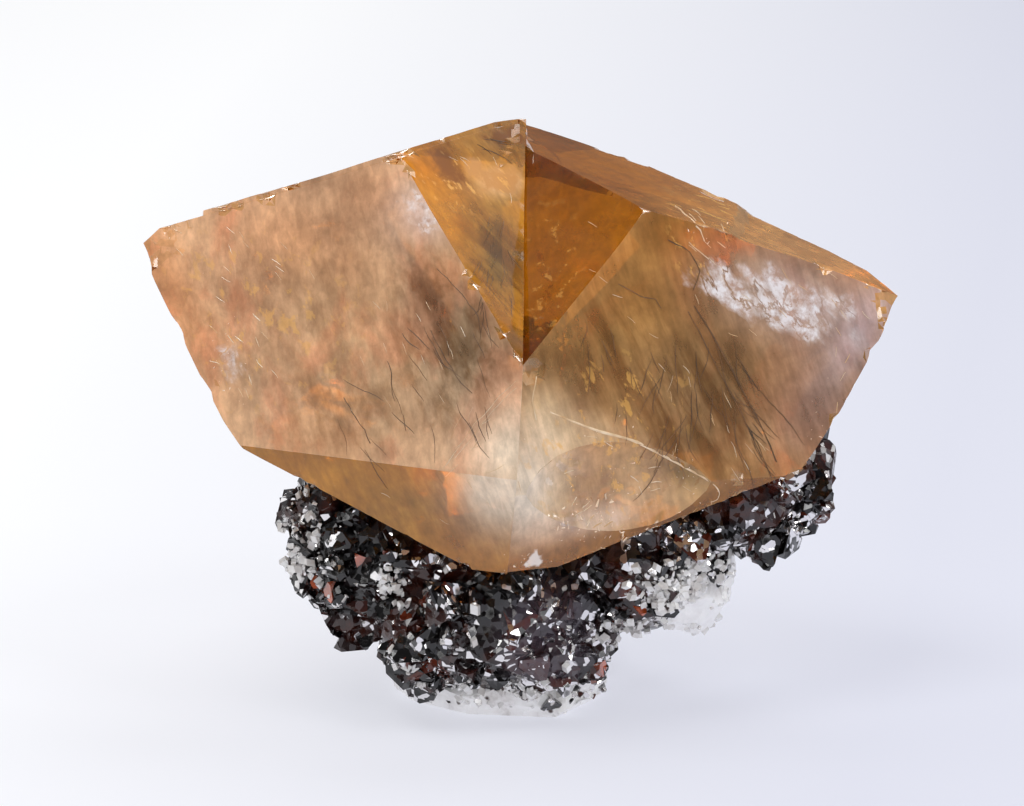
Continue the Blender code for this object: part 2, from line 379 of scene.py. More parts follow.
# Edges that swell beyond the straight ones of the plain solid: their ends in pixels, how far the swelling
# reaches in, in pixels, and its height in mm at shares of their length
SWELLINGS = [
    ((523, 123), (895, 300), 75,
     [(0, 0.5), (0.1, 1.1), (0.3, 1.9), (0.56, 1.9), (0.60, 1.2), (0.8, 0.9), (1, 0.0)]),
    ((146, 250), (243, 447), 60, [(0, 0.1), (0.12, 0.8), (0.6, 0.8), (0.85, 0.6), (1, 0.0)]),
    ((895, 300), (797, 478), 60, [(0, 0.0), (0.15, 0.7), (0.6, 0.9), (0.85, 0.5), (1, 0.0)]),
    ((196, 214), (523, 123), 60, [(0, 0.0), (0.4, 0.3), (0.7, 0.8), (0.92, 1.1), (1, 0.6)]),
]
OUTLINE_MIDDLE = (520, 340)

# Wear along the sharp edges: how far it reaches in from an edge, and how deep
NICK_REACH = 1.5 * MM
NICK_DEPTH = 0.55 * MM
EDGE_STEP = 0.4 * MM
# Larger broken places: pixel, radius and depth in mm
BREAKS = [
    ((166, 234), 3.6, 0.7), ((709, 206), 2.0, 0.8), ((884, 306), 2.0, 0.9), ((150, 262), 2.0, 0.8),
    ((178, 330), 1.8, 0.7), ((204, 390), 1.8, 0.6), ((634, 166), 1.6, 0.5), ((530, 372), 1.6, 0.6),
    ((868, 352), 1.6, 0.6),
]
# Where edges are grown together or sharp, and not worn: the twin's seam and the notch beside it, as
# boxes of left, top, right and bottom pixel
UNWORN_BOXES = [(500, 150, 552, 806), (500, 130, 655, 365)]
# The chip on the right individual: its box, where its ripples start, their spacing and height in mm
CHIP_BOX = (526, 400, 724, 562)
CHIP_START_PIXEL = (560, 392)
CHIP_RIPPLE_SPACING = 2.3
CHIP_RIPPLE_HEIGHT = 0.10


def in_boxes(point, boxes):
    """Whether a point is seen in one of some boxes of pixels."""
    u, v = pixel_of(point)
    return any(left < u < right and top < v < bottom for left, top, right, bottom in boxes)


def slice_evenly(bm, step):
    """Cut every face along evenly spaced planes, so that its surface can be modelled."""
    for axis in range(3):
        values = [vert.co[axis] for vert in bm.verts]
        low, high = min(values), max(values)
        normal = Vector([1.0 if i == axis else 0.0 for i in range(3)])
        for i in range(1, int((high - low) / step)):
            at = normal * (low + i * step)
            bmesh.ops.bisect_plane(bm, geom=bm.verts[:] + bm.edges[:] + bm.faces[:],
                                   plane_co=at, plane_no=normal, dist=1e-7)
    bmesh.ops.triangulate(bm, faces=bm.faces[:])
    bm.normal_update()


def edge_points(edges):
    """Points spaced along edges."""
    points = []
    for edge in edges:
        a, b = edge.verts[0].co, edge.verts[1].co
        count = max(1, int((b - a).length / EDGE_STEP))
        points += [a.lerp(b, i / count) for i in range(count + 1)]
    return points


def swell_edges(bm):
    """Move the surface outward near some edges of the outline, as they curve in the real crystal."""
    for (u0, v0), (u1, v1), reach, heights in SWELLINGS:
        length = math.dist((u0, v0), (u1, v1))
        along = ((u1 - u0) / length, (v1 - v0) / length)
        outward = VIEW_RIGHT * along[1] + VIEW_UP * along[0]
        from_middle = (VIEW_RIGHT * ((u0 + u1) / 2 - OUTLINE_MIDDLE[0])
                       - VIEW_UP * ((v0 + v1) / 2 - OUTLINE_MIDDLE[1]))
        side = 1.0 if outward.dot(from_middle) > 0 else -1.0
        for vert in bm.verts:
            u, v = pixel_of(vert.co)
            share = ((u - u0) * along[0] + (v - v0) * along[1]) / length
            across = abs((u - u0) * along[1] - (v - v0) * along[0]) / reach
            if 0.0 < share < 1.0 and across < 1.0:
                height = np.interp(share, *zip(*heights))
                vert.co += outward * side * height * MM * (1 - across * across) ** 2


def nick_edges(bm, points):
    """Push the surface in near the sharp edges, by an uneven amount, and at the broken places."""
    tree = KDTree(len(points))
    for i, point in enumerate(points):
        tree.insert(point, i)
    tree.balance()
    for vert in bm.verts:
        place, _, distance = tree.find(vert.co)
        if distance < NICK_REACH:
            worn = noise.noise(place * 230) + 0.6 * noise.noise(place * 640) - 0.22
            near = 1.0 - distance / NICK_REACH
            vert.co -= vert.normal * NICK_DEPTH * max(0.0, worn) * 1.8 * near * near
    for pixel, radius, depth in BREAKS:
        seen = min((vert for vert in bm.verts if vert.normal.y < 0.2),
                   key=lambda vert: math.dist(pixel_of(vert.co), pixel))
        middle, inward = seen.co.copy(), -seen.normal.copy()
        for vert in bm.verts:
            gap = (vert.co - middle).length / (radius * MM)
            if gap < 1.0:
                ragged = 0.75 + 0.5 * noise.noise(vert.co * 900)
                vert.co += inward * depth * MM * (1.0 - gap) ** 0.7 * ragged


def ripple_chip(bm):
    """Cut the chip's faces finer and raise the curved ripples of a shell-like break."""
    def on_chip(face):
        straight = max(face.normal.dot(normal) for normal, _ in crystal_faces.values())
        return (in_boxes(face.calc_center_median(), [CHIP_BOX])
                and face.normal.y < -0.2 and straight < FLAT_FACE)
    edges = dict.fromkeys(edge for face in bm.faces if on_chip(face) for edge in face.edges)
    bmesh.ops.subdivide_edges(bm, edges=list(edges), cuts=2, use_grid_fill=True)
    bmesh.ops.triangulate(bm, faces=bm.faces[:])
    bm.normal_update()
    verts = dict.fromkeys(vert for face in bm.faces if on_chip(face) for vert in face.verts)
    start = min(verts, key=lambda vert: math.dist(pixel_of(vert.co), CHIP_START_PIXEL)).co.copy()
    for vert in verts:
        away = (vert.co - start).length / MM + noise.noise(vert.co * 150) * 1.6
        wave = math.sin(away * 2 * math.pi / CHIP_RIPPLE_SPACING) * (0.5 + noise.noise(vert.co * 220))
        vert.co += vert.normal * (wave * CHIP_RIPPLE_HEIGHT + noise.noise(vert.co * 700) * 0.10) * MM
    bm.normal_update()


def calcite_mesh(twin):
    """The worn and swollen crystal, cut finely from its plain solid."""
    bm = bmesh.new()
    bm.from_mesh(twin.data)
    bmesh.ops.remove_doubles(bm, verts=bm.verts[:], dist=WELD)
    bmesh.ops.dissolve_limit(bm, angle_limit=FLAT_EDGE, verts=bm.verts[:], edges=bm.edges[:])
    sharp = [edge for edge in bm.edges if edge.is_manifold and edge.calc_face_angle() > SHARP_EDGE]
    worn = edge_points([edge for edge in sharp
                        if not in_boxes((edge.verts[0].co + edge.verts[1].co) / 2, UNWORN_BOXES)])
    bmesh.ops.bevel(bm, geom=sharp, offset=EDGE_WIDTH, segments=2, profile=0.6, affect="EDGES",
                    clamp_overlap=True)
    slice_evenly(bm, SLICE)
    ripple_chip(bm)
    nick_edges(bm, worn)
    swell_edges(bm)
    for vert in bm.verts:
        ripple = noise.noise(vert.co * 260) * 0.04 + noise.noise(vert.co * 90) * 0.06
        vert.co += vert.normal * ripple * MM
    thing = ordered_object(bm, "calcite")
    thing.data.shade_smooth()
    thing.data.set_sharp_from_angle(angle=SHADED_EDGE)
    return thing


# Ground look of each face: tint, haze (share of light scattered, not let through) and roughness
FACE_LOOKS = {
    "left_broad": ((0.98, 0.62, 0.36), 0.62, 0.10),
    "left_lower": ((0.66, 0.29, 0.03), 0.50, 0.05),
    "left_notch": ((0.88, 0.40, 0.03), 0.36, 0.05),
    "right_broad": ((0.78, 0.42, 0.15), 0.42, 0.04),
    "right_lower": ((0.62, 0.25, 0.02), 0.38, 0.05),
    "right_notch": ((0.46, 0.16, 0.001), 0.26, 0.03),
    "right_top": ((0.60, 0.20, 0.002), 0.44, 0.05),
    "other": ((0.90, 0.55, 0.20), 0.28, 0.08),
}
# How much each face shows rosy patches, and the haze above which a zone is milky and shows none
ROSINESS = {"left_broad": 1.0, "right_broad": 0.45}
LEAST_ROSINESS = 0.15
MILKY = 0.70
# The faces that meet around the chip, which the tables below call by one name
CHIP_FACES = ("other", "right_broad", "right_lower")
# Zones of colour: face, middle in pixels, half-widths, turn in degrees, tint, haze, strength
ZONES = [
    ("left_broad", (290, 240), (95, 52), 20, (0.96, 0.48, 0.24), 0.62, 0.75),
    ("left_broad", (165, 280), (30, 110), -25, (1.0, 0.46, 0.20), 0.68, 0.8),
    ("left_broad", (350, 330), (60, 80), -12, (0.92, 0.56, 0.28), 0.60, 0.5),
    ("left_broad", (455, 330), (52, 105), -12, (0.44, 0.32, 0.19), 0.55, 0.75),
    ("left_broad", (370, 410), (46, 50), -12, (0.78, 0.50, 0.28), 0.60, 0.6),
    ("left_broad", (420, 212), (34, 28), 30, (0.92, 0.78, 0.72), 0.74, 0.8),
    ("left_broad", (510, 452), (46, 52), 0, (0.88, 0.72, 0.54), 0.84, 0.95),
    ("left_broad", (372, 190), (40, 36), 20, (0.94, 0.46, 0.22), 0.62, 0.6),
    ("left_lower", (518, 488), (48, 44), 0, (0.90, 0.76, 0.60), 0.90, 1.0),
    ("chip", (640, 476), (84, 44), 18, (0.84, 0.52, 0.24), 0.66, 1.0),
    ("other", (526, 424), (12, 62), 0, (0.86, 0.68, 0.50), 0.84, 1.0),
    ("right_broad", (600, 440), (60, 26), 20, (0.90, 0.64, 0.38), 0.66, 0.8),
    ("other", (180, 250), (80, 50), 0, (0.92, 0.48, 0.22), 0.66, 1.0),
    ("other", (185, 350), (44, 110), -25, (0.92, 0.46, 0.22), 0.66, 1.0),
    ("other", (330, 180), (130, 30), -18, (0.92, 0.48, 0.20), 0.62, 0.95),
    ("other", (585, 215), (80, 110), 0, (0.46, 0.16, 0.002), 0.30, 1.0),
    ("other", (800, 262), (110, 40), 25, (1.0, 0.50, 0.18), 0.70, 0.95),
    ("right_top", (800, 262), (120, 46), 25, (1.0, 0.50, 0.17), 0.70, 1.0),
    ("left_lower", (405, 505), (40, 34), 20, (0.62, 0.32, 0.06), 0.52, 0.7),
    ("left_lower", (492, 488), (40, 36), 0, (0.86, 0.72, 0.55), 0.88, 1.0),
    ("left_notch", (420, 168), (40, 24), 30, (0.78, 0.27, 0.003), 0.46, 0.9),
    ("left_notch", (446, 164), (10, 30), -40, (0.30, 0.08, 0.005), 0.60, 1.0),
    ("left_notch", (474, 166), (16, 14), 0, (0.98, 0.42, 0.03), 0.66, 1.0),
    ("left_notch", (502, 182), (26, 14), 0, (0.98, 0.66, 0.36), 0.74, 1.0),
    ("left_notch", (498, 140), (34, 16), 15, (0.42, 0.22, 0.06), 0.50, 0.8),
    ("left_notch", (500, 260), (34, 66), -20, (0.25, 0.16, 0.045), 0.50, 0.85),
    ("right_broad", (600, 350), (46, 60), 10, (0.56, 0.31, 0.10), 0.50, 0.7),
    ("right_broad", (700, 400), (66, 80), 25, (0.46, 0.29, 0.14), 0.62, 0.8),
    ("right_broad", (680, 245), (60, 60), 0, (0.52, 0.20, 0.01), 0.46, 0.95),
    ("right_broad", (640, 290), (40, 44), 0, (0.70, 0.34, 0.09), 0.48, 0.7),
    ("right_broad", (800, 300), (90, 46), 20, (0.84, 0.68, 0.62), 0.48, 0.8),
    ("right_broad", (815, 410), (52, 62), 0, (0.64, 0.42, 0.33), 0.44, 0.8),
    ("right_broad", (858, 335), (26, 60), 30, (0.90, 0.76, 0.76), 0.62, 0.85),
    ("right_broad", (540, 425), (46, 46), 0, (0.84, 0.62, 0.38), 0.72, 0.8),
    ("right_lower", (524, 490), (44, 44), 0, (0.90, 0.76, 0.60), 0.90, 1.0),
    ("chip", (520, 482), (46, 54), 0, (0.90, 0.76, 0.60), 0.90, 1.0),
    ("chip", (596, 522), (46, 20), -15, (0.96, 0.76, 0.60), 0.74, 0.8),
    ("chip", (684, 474), (24, 12), 25, (0.34, 0.20, 0.05), 0.60, 0.9),
    ("right_lower", (660, 520), (150, 17), -20, (0.44, 0.18, 0.01), 0.42, 1.0),
    ("other", (526, 560), (16, 24), 0, (0.70, 0.40, 0.13), 0.55, 1.0),
]
# White, gold or smoky marks: kind, face, middle in pixels, half-widths, turn in degrees, strength
MARKS = [
    ("white", "right_broad", (776, 300), (98, 36), 22, 1.0),
    ("white", "right_broad", (850, 320), (30, 40), 35, 0.75),
    ("white", "left_broad", (420, 212), (32, 22), 40, 0.78),
    # Painted highlight: glints low on the left face, drawn as a white mark.
    ("white", "left_broad", (226, 352), (22, 52), -28, 0.55),
    ("white", "chip", (594, 520), (46, 20), -15, 0.62),
    ("smoke", "left_broad", (448, 350), (58, 105), -18, 1.0),
    ("smoke", "left_broad", (350, 400), (70, 60), -12, 0.6),
    ("smoke", "left_broad", (300, 300), (120, 90), 0, 0.35),
    ("smoke", "left_notch", (500, 265), (36, 80), -20, 1.0),
    ("smoke", "left_notch", (500, 140), (36, 16), 15, 0.7),
    ("smoke", "right_broad", (700, 410), (78, 88), 25, 1.0),
    ("smoke", "right_broad", (615, 350), (60, 70), 0, 0.8),
    ("smoke", "right_broad", (820, 410), (60, 60), 0, 0.35),
    ("smoke", "left_lower", (420, 500), (60, 40), 20, 0.6),
    ("gold", "right_broad", (700, 235), (30, 44), 0, 0.9),
    ("gold", "right_notch", (550, 280), (34, 80), 0, 0.4),
    ("gold", "left_notch", (470, 180), (50, 30), 0, 0.7),
    ("gold", "left_broad", (250, 320), (110, 90), 0, 0.45),
    ("gold", "right_top", (720, 215), (60, 40), 0, 0.9),
    ("gold", "right_broad", (620, 400), (70, 50), 0, 0.6),
    ("gold", "chip", (600, 470), (70, 50), 0, 0.7),
]
MARK_KINDS = ("white", "gold", "smoke")
# Patches with an outline of their own: kind, face, outline in pixels, width of the soft rim in pixels
PATCHES = [
    ("peach", "left_notch", [(486, 170), (512, 164), (520, 180), (516, 196), (494, 190), (478, 196)], 12),
    ("peach", "left_notch", [(463, 160), (480, 156), (488, 172), (468, 180)], 12),
    ("amber", "left_notch", [(424, 150), (448, 142), (470, 188), (450, 184)], 20),
    ("amber", "left_notch", [(480, 136), (520, 124), (526, 142), (500, 150)], 16),
    ("pale", "chip", [(522, 567), (536, 549), (544, 568)], 2),
]
PATCH_KINDS = ("peach", "amber", "pale")


def outline_distance(u, v, outline):
    """Signed distance in pixels from many points to an outline, positive inside."""
    inside = np.zeros(len(u), bool)
    nearest = np.full(len(u), 1e9)
    for (u0, v0), (u1, v1) in zip(outline, outline[1:] + outline[:1]):
        if v0 != v1:
            inside ^= ((v0 > v) != (v1 > v)) & (u < (u1 - u0) * (v - v0) / (v1 - v0) + u0)
        t = ((u - u0) * (u1 - u0) + (v - v0) * (v1 - v0)) / ((u1 - u0) ** 2 + (v1 - v0) ** 2)
        t = np.clip(t, 0, 1)
        nearest = np.minimum(nearest, np.hypot(u - u0 - t * (u1 - u0), v - v0 - t * (v1 - v0)))
    return np.where(inside, nearest, -nearest)


def spot(u, v, middle, widths, turn):
    """How far points are from the middle of a turned oval, squared, in shares of its half-widths."""
    c, s = math.cos(math.radians(turn)), math.sin(math.radians(turn))
    du, dv = u - middle[0], v - middle[1]
    return ((c * du + s * dv) / widths[0]) ** 2 + ((c * dv - s * du) / widths[1]) ** 2


def paint_calcite(mesh):
    """Store tint, haze, roughness, marks and patches on the mesh, from the tables above."""
    names = [*crystal_faces, "other"]
    normals = np.array([normal for normal, _ in crystal_faces.values()])
    match = values_of(mesh.polygons, "normal") @ normals.T
    classes = np.where(match.max(axis=1) > SAME_FACE, match.argmax(axis=1), len(crystal_faces))
    classes = np.repeat(classes, values_of(mesh.polygons, "loop_total", int))
    corners = len(mesh.loops)
    places = values_of(mesh.vertices, "co")[values_of(mesh.loops, "vertex_index", int)]
    u, v = pixels_of(places)
    tint, feel, marks, patches = np.ones((corners, 4)), np.ones((corners, 4)), *np.zeros((2, corners, 4))
    milky = np.zeros(corners)

    def on_faces(face):
        faces = CHIP_FACES if face == "chip" else (face,)
        return np.isin(classes, [names.index(name) for name in faces])

    for name in names:
        here = on_faces(name)
        tint[here, :3], feel[here, 0], feel[here, 1] = FACE_LOOKS[name]
        feel[here, 2] = ROSINESS.get(name, LEAST_ROSINESS)
    for face, middle, widths, turn, colour, haze, strength in ZONES:
        share = strength * np.exp(-spot(u, v, middle, widths, turn)) * on_faces(face)
        tint[:, :3] += (np.array(colour) - tint[:, :3]) * share[:, None]
        feel[:, 0] += (haze - feel[:, 0]) * share
        if haze > MILKY:
            feel[:, 2] *= 1 - share
            milky = np.maximum(milky, share)
    for kind, face, middle, widths, turn, strength in MARKS:
        share = strength * np.exp(-spot(u, v, middle, widths, turn) ** 2) * on_faces(face)
        column = MARK_KINDS.index(kind)
        marks[:, column] = np.maximum(marks[:, column], share)
    marks[:, MARK_KINDS.index("smoke")] *= 1 - 0.8 * milky
    for kind, face, outline, soft in PATCHES:
        share = np.clip(0.5 + outline_distance(u, v, outline) / soft, 0, 1) * on_faces(face)
        column = PATCH_KINDS.index(kind)
        patches[:, column] = np.maximum(patches[:, column], share)
    for name, values in (("tint", tint), ("feel", feel), ("marks", marks), ("patches", patches)):
        layer = mesh.color_attributes.new(name, "FLOAT_COLOR", "CORNER")
        layer.data.foreach_set("color", values.astype(np.float32).ravel())


# Patterns with a grain: turn in degrees, stretch, scale, and the noise values between which they set in
FIBRES = (14, 0.16, 900, 0.30, 0.70)
ROSE_PATCHES = (10, 0.6, 110, 0.48, 0.66)
SMOKE_STREAKS = (27, 0.16, 330, 0.36, 0.60)
RAGGED_EDGES = (38, 0.45, 300, 0.0, 1.0)
CRACKS = (38, 0.45, 260, 0.0, 0.03)
GOLD_FLAKES = (30, 0.55, 600, 0.56, 0.64)
# Mottling: the noise values it follows, and the factors they give for clouds, grain, fibres and haze
MOTTLED = (0.3, 0.7)
CLOUD_SHADE, GRAIN_SHADE, FIBRE_SHADE, CLOUD_HAZE = (0.80, 1.10), (0.88, 1.06), (0.84, 1.14), (-0.16, 0.16)
ROSE_TINT = (1.05, 0.85, 0.81)
SMOKE_TINT = (0.50, 0.42, 0.34)
# Colour and haze of the patches and of gold flakes, and the colours and the haze of white crushed crystal,
# whose mark low on the left face is a painted highlight
PATCH_LOOKS = (("Red", (0.80, 0.41, 0.13, 1), 0.50), ("Green", (0.26, 0.09, 0.008, 1), 0.62),
               ("Blue", (1.0, 0.92, 0.84, 1), 0.70))
GOLD_LOOK = ((1.0, 0.55, 0.14, 1), 0.75)
WHITE_STOPS, WHITE_HAZE = ((0.38, (0.52, 0.34, 0.26)), (0.56, (0.96, 0.92, 0.93))), 0.80
# Light that the crystal takes up on its way through
INNER_COLOUR, INNER_DENSITY = (0.86, 0.60, 0.05, 1.0), 42.0


def calcite_material():
    """Clear golden calcite with clouds, fibres, rosy and smoky parts, white and gold marks."""
    paint = Paint("calcite")
    where = paint.where()
    feel, marks, patches = (paint.channels(name) for name in ("feel", "marks", "patches"))
    cloud = paint.noise(where, 95.0, 7.0, 0.62)
    grain = paint.noise(where, 520.0, 5.0, 0.7, 0.6)
    coarse = paint.noise(where, 420.0, 7.0, 0.7)
    shade = paint.math("MULTIPLY", paint.span(cloud, *MOTTLED, *CLOUD_SHADE),
                       paint.span(grain, *MOTTLED, *GRAIN_SHADE))
    fibres = paint.span(paint.streaks(where, *FIBRES), 0.0, 1.0, *FIBRE_SHADE)
    colour = paint.vector("SCALE", paint.layer("tint"), paint.math("MULTIPLY", shade, fibres))
    haze = paint.math("ADD", feel["Red"], paint.span(cloud, *MOTTLED, *CLOUD_HAZE))
    for pattern, amount, factor in ((ROSE_PATCHES, feel["Blue"], ROSE_TINT),
                                    (SMOKE_STREAKS, marks["Blue"], SMOKE_TINT)):
        share = paint.math("MULTIPLY", paint.streaks(where, *pattern), amount)
        colour = paint.mix(share, colour, paint.vector("MULTIPLY", colour, factor))
    held = paint.math("MULTIPLY", paint.streaks(where, *RAGGED_EDGES), 0.6)
    held = paint.math("MULTIPLY_ADD", marks["Red"], 0.5, held)
    white = paint.math("MULTIPLY", paint.span(held, 0.56, 0.78, smooth=True),
                       paint.streaks(where, *CRACKS, lines=True))
    gold = paint.math("MULTIPLY", paint.streaks(where, *GOLD_FLAKES), marks["Green"])
    covers = []
    for channel, patch_colour, patch_haze in PATCH_LOOKS:
        level = paint.math("MULTIPLY_ADD", coarse, 1.8, -0.90)
        level = paint.math("ADD", patches[channel], level)
        covers.append((paint.span(level, 0.30, 0.85, smooth=True), patch_colour, patch_haze))
    covers.append((white, paint.ramp(coarse, *WHITE_STOPS), WHITE_HAZE))
    covers.append((gold, *GOLD_LOOK))
    for share, cover_colour, cover_haze in covers:
        colour = paint.mix(share, colour, cover_colour)
        haze = paint.mix_values(share, haze, cover_haze)
    clear = paint.add("Math", {0: 1.0, 1: haze}, operation="SUBTRACT", use_clamp=True).outputs[0]
    inside = paint.add("VolumeAbsorption", {"Color": INNER_COLOUR, "Density": INNER_DENSITY})
    paint.feed(paint.tree.nodes["Material Output"], {"Volume": inside.outputs["Volume"]})
    return paint.finish({"Base Color": colour, "Transmission Weight": clear, "Roughness": feel["Green"],
                         "IOR": CALCITE_IOR})


def add_calcite(twin):
    thing = calcite_mesh(twin)
    paint_calcite(thing.data)
    return dress(thing, calcite_material(), "calcite_twin")


# Looks of the veils: colour, then scale, turn in degrees, stretch, the noise values between which they
# set in, strength and roughness
VEIL_LOOKS = {
    "smoke_veil": ((0.11, 0.09, 0.075), 2.2, -60, 0.35, 0.35, 0.62, 0.75, 0.5),
    "milk_veil": ((0.92, 0.84, 0.70), 1.6, 20, 0.6, 0.25, 0.6, 0.75, 0.5),
    "white_wisp": ((0.95, 0.93, 0.92), 3.2, 35, 0.35, 0.47, 0.62, 0.85, 0.3),
    "gold_flake": ((0.95, 0.52, 0.12), 7.0, 40, 0.5, 0.5, 0.62, 0.9, 0.2),
}
# Veils inside the crystal: look, face they lie under, depth in mm, width of the soft rim in pixels, outline
VEILS = {
    "smoke_left": ("smoke_veil", "left_broad", 5.0, 36, [
        (392, 250), (452, 245), (500, 315), (522, 372), (500, 440), (440, 455), (398, 400), (378, 320)]),
    "smoke_low_left": ("smoke_veil", "left_broad", 9.0, 30, [
        (330, 330), (400, 300), (430, 420), (400, 470), (340, 440)]),
    "smoke_notch": ("smoke_veil", "left_notch", 4.0, 18, [
        (450, 205), (500, 190), (530, 210), (534, 345), (515, 350), (470, 290)]),
    "smoke_right": ("smoke_veil", "right_broad", 7.0, 40, [
        (590, 330), (650, 270), (710, 290), (760, 380), (790, 470), (700, 480), (600, 430), (565, 380)]),
    "milk_low_left": ("milk_veil", "left_lower", 3.0, 22, [
        (450, 480), (500, 470), (540, 470), (540, 560), (500, 575), (470, 560)]),
    "milk_middle": ("milk_veil", "left_broad", 3.5, 26, [
        (460, 440), (500, 395), (540, 400), (545, 470), (520, 500), (465, 490)]),
    "milk_right": ("milk_veil", "right_broad", 4.0, 26, [
        (500, 400), (555, 395), (590, 440), (580, 500), (540, 540), (505, 520)]),
    "wisps_right": ("white_wisp", "right_broad", 1.4, 14, [
        (690, 262), (735, 242), (800, 258), (872, 292), (850, 335), (800, 352), (755, 335), (712, 300)]),
    "wisps_right_deep": ("white_wisp", "right_broad", 3.4, 20, [
        (700, 255), (760, 250), (850, 285), (840, 350), (790, 360), (740, 330)]),
    "flakes_top": ("gold_flake", "right_broad", 1.0, 8, [
        (680, 215), (700, 195), (722, 205), (705, 262), (688, 262)]),
    "flakes_notch": ("gold_flake", "right_notch", 1.2, 10, [
        (534, 220), (570, 220), (575, 320), (545, 345), (534, 320)]),
}
# Spacing of a veil's points in pixels, the depths between which it sets in below the skin, how much it
# waves in mm, and the pixels to one unit of its pattern
VEIL_STEP = 5.0
VEIL_CLEAR = (0.35 * MM, 1.3 * MM)
VEIL_WAVE = 0.5
VEIL_UNIT = 100


def veil_material(name, colour, scale, turn, stretch, low, high, strength, roughness):
    """Mostly clear, shown where a stretched noise passes a threshold."""
    paint = Paint(name)
    pixels = paint.add("UVMap", {}, uv_map="pixels").outputs["UV"]
    cloud = paint.noise(paint.drawn_out(pixels, (0, 0, turn), (1.0, stretch, 1.0)), scale, 6.0, 0.62, 0.25)
    shown = paint.span(cloud, low, high, 0.0, strength, smooth=True)
    return paint.finish({"Base Color": (*colour, 1.0), "Roughness": roughness,
                         "Alpha": paint.math("MULTIPLY", shown, paint.channels("fade")["Red"])})


def veil_mesh(name, face, inset, soft, outline, skin):
    """A thin sheet inside the crystal, under one face, fading out at its outline and near the skin."""
    low, high = np.min(outline, axis=0), np.max(outline, axis=0)
    columns, rows = (max(2, int(span / VEIL_STEP)) + 1 for span in high - low)
    us = low[0] + (high[0] - low[0]) * np.arange(columns) / (columns - 1)
    vs = low[1] + (high[1] - low[1]) * np.arange(rows) / (rows - 1)
    us, vs = np.tile(us, rows), np.repeat(vs, columns)
    rims = np.clip(outline_distance(us, vs, outline) / soft, 0, 1)
    normal, _ = crystal_faces[face]
    bm = bmesh.new()
    uv_layer = bm.loops.layers.uv.new("pixels")
    fade_layer = bm.verts.layers.float_color.new("fade")
    grid, places = [], {}
    for u, v, rim in zip(us.tolist(), vs.tolist(), rims.tolist()):
        flat = under_face(face, inset, u, v)
        wave = noise.noise(flat * 180 + Vector((len(name), 0, 0))) * VEIL_WAVE * MM
        vert = bm.verts.new(flat + normal * wave)
        deep = (depth_inside(skin, vert.co) - VEIL_CLEAR[0]) / (VEIL_CLEAR[1] - VEIL_CLEAR[0])
        fade = rim * rim * (3 - 2 * rim) * max(0.0, min(1.0, deep))
        vert[fade_layer] = (fade, fade, fade, 1.0)
        places[vert] = (u / VEIL_UNIT, v / VEIL_UNIT)
        grid.append((vert, fade, deep))
    for j in range(rows - 1):
        for i in range(columns - 1):
            first = j * columns + i
            four = [grid[first], grid[first + 1], grid[first + columns + 1], grid[first + columns]]
            if max(item[1] for item in four) > 0.0 and min(item[2] for item in four) > 0.0:
                for loop in bm.faces.new([item[0] for item in four]).loops:
                    loop[uv_layer].uv = places[loop.vert]
    bmesh.ops.delete(bm, geom=[vert for vert in bm.verts if not vert.link_faces], context="VERTS")
    thing = object_from(bm, name)
    thing.data.shade_smooth()
    return thing


def add_veils(skin):
    materials = {look: veil_material(look, *values) for look, values in VEIL_LOOKS.items()}
    for name, (look, face, inset, soft, outline) in VEILS.items():
        dress(veil_mesh(name, face, inset, soft, outline, skin), materials[look])


# Hairs: how far a strand's points may be apart, how high above the skin and how deep below it they lie,
# the length of a step in pixels, how much a hair wanders in radians, and the depths of a field's hairs in mm
STRAND_GAP = 2.5 * MM
STRAND_RISE = 0.03 * MM
STRAND_SUNK = 0.08 * MM
HAIR_STEP = 3.5
HAIR_WANDER = 0.10
HAIR_DEPTHS = (-0.4, 0.8)
